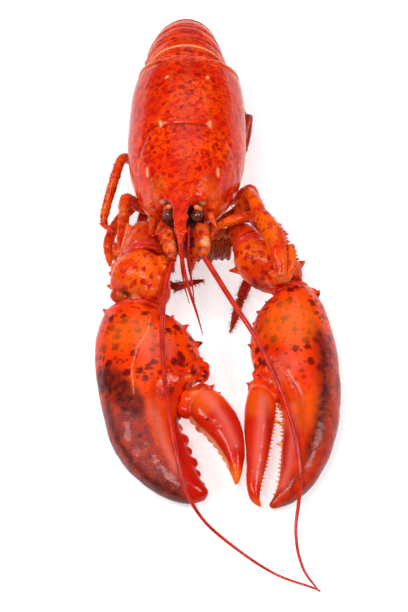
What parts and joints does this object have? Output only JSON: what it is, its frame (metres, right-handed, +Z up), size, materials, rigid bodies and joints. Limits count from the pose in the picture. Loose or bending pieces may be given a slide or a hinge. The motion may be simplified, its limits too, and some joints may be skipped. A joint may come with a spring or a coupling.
{
  "type": "boiled lobster",
  "caption": "Whole boiled lobster at rest, tail curled under, claws laid out in front, long antennae sweeping over them to the table.",
  "frame": {"origin": "middle of the flat face the telson rests on, at table level", "axes": "+Y along the body from head to tail, +Z up from the table, +X to the lobster's own left"},
  "size_m": [0.1181, 0.3177, 0.0658],
  "materials": {
    "shell_red": "boiled red shell, glossy, mottled darker",
    "limb_orange": "boiled orange shell of the limbs, satin to glossy",
    "feeler_red": "deep red horny feeler, glossy",
    "eye_brown": "dark brown eye, glossy"
  },
  "bodies": {
    "root": {"antenna_base_left": "limb_orange", "antenna_base_right": "limb_orange", "antenna_left": "feeler_red", "antenna_right": "feeler_red", "antenna_scale_left": "limb_orange", "antenna_scale_right": "limb_orange", "antennule_left": "feeler_red", "antennule_right": "feeler_red", "carapace": "shell_red", "crusher_carpus": "limb_orange", "crusher_dactyl": "shell_red", "crusher_ischium": "limb_orange", "crusher_merus": "limb_orange", "crusher_propodus": "shell_red", "cutter_carpus": "limb_orange", "cutter_dactyl": "shell_red", "cutter_ischium": "limb_orange", "cutter_merus": "limb_orange", "cutter_propodus": "shell_red", "eye_left": "eye_brown", "eye_right": "eye_brown", "leg_left_1_dactyl": "limb_orange", "leg_left_1_merus": "limb_orange", "leg_left_1_propodus": "limb_orange", "leg_left_2_dactyl": "limb_orange", "leg_left_2_merus": "limb_orange", "leg_left_2_propodus": "limb_orange", "leg_left_3_dactyl": "limb_orange", "leg_left_3_merus": "limb_orange", "leg_left_3_propodus": "limb_orange", "leg_left_4_dactyl": "limb_orange", "leg_left_4_merus": "limb_orange", "leg_left_4_propodus": "limb_orange", "leg_right_1_dactyl": "limb_orange", "leg_right_1_merus": "limb_orange", "leg_right_1_propodus": "limb_orange", "leg_right_2_dactyl": "limb_orange", "leg_right_2_merus": "limb_orange", "leg_right_2_propodus": "limb_orange", "leg_right_3_dactyl": "limb_orange", "leg_right_3_merus": "limb_orange", "leg_right_3_propodus": "limb_orange", "leg_right_4_dactyl": "limb_orange", "leg_right_4_merus": "limb_orange", "leg_right_4_propodus": "limb_orange", "maxilliped_left": "limb_orange", "maxilliped_right": "limb_orange", "sternum": "limb_orange", "tail_segment_1": "shell_red", "tail_segment_2": "shell_red", "tail_segment_3": "shell_red", "tail_segment_4": "shell_red", "tail_segment_5": "shell_red", "tail_segment_6": "shell_red", "telson": "shell_red", "uropod_inner_left": "shell_red", "uropod_inner_right": "shell_red", "uropod_outer_left": "shell_red", "uropod_outer_right": "shell_red"}
  },
  "joints": []
}
